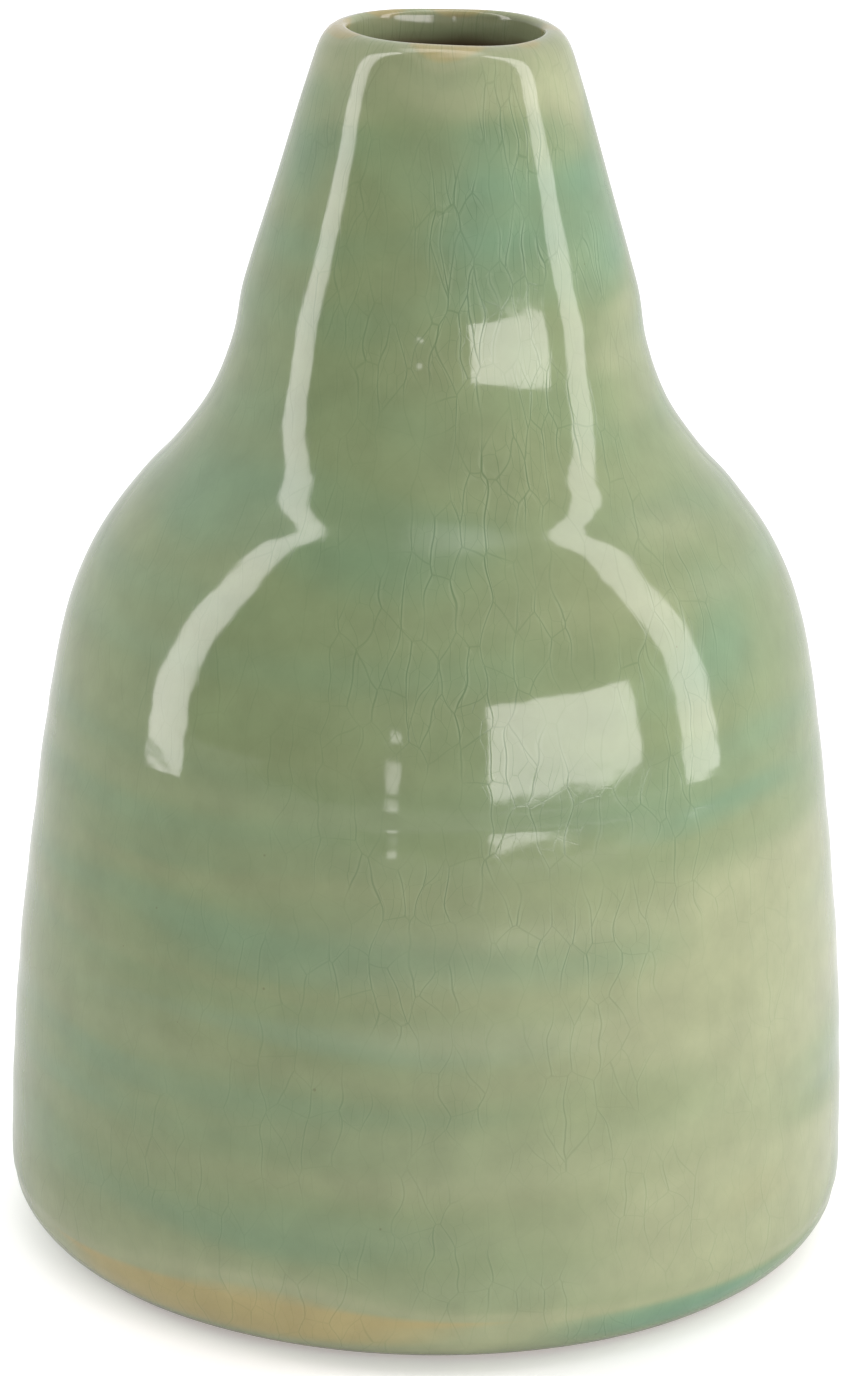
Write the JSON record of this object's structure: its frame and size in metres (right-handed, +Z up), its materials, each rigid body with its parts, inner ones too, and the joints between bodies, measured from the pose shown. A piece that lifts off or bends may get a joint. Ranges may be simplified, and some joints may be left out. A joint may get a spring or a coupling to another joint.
{
  "type": "sake bottle",
  "caption": "Free-standing glazed stoneware sake bottle with a broad round body, sloping shoulder, tapered neck and small round mouth.",
  "frame": {"origin": "centre of the foot ring on the table", "axes": "+Z up along the bottle's axis, from the foot to the mouth; the bottle is round, and +Y is taken as its back"},
  "size_m": [0.0942, 0.0942, 0.135],
  "materials": {
    "stoneware": "matt, fine sandy grain",
    "celadon": "glossy, crackled, grey-green with blue-green pools",
    "lining": "glossy, thin, olive green"
  },
  "bodies": {
    "root": {"stoneware_body": "stoneware", "celadon_glaze": "celadon", "lining_glaze": "lining"}
  },
  "joints": []
}
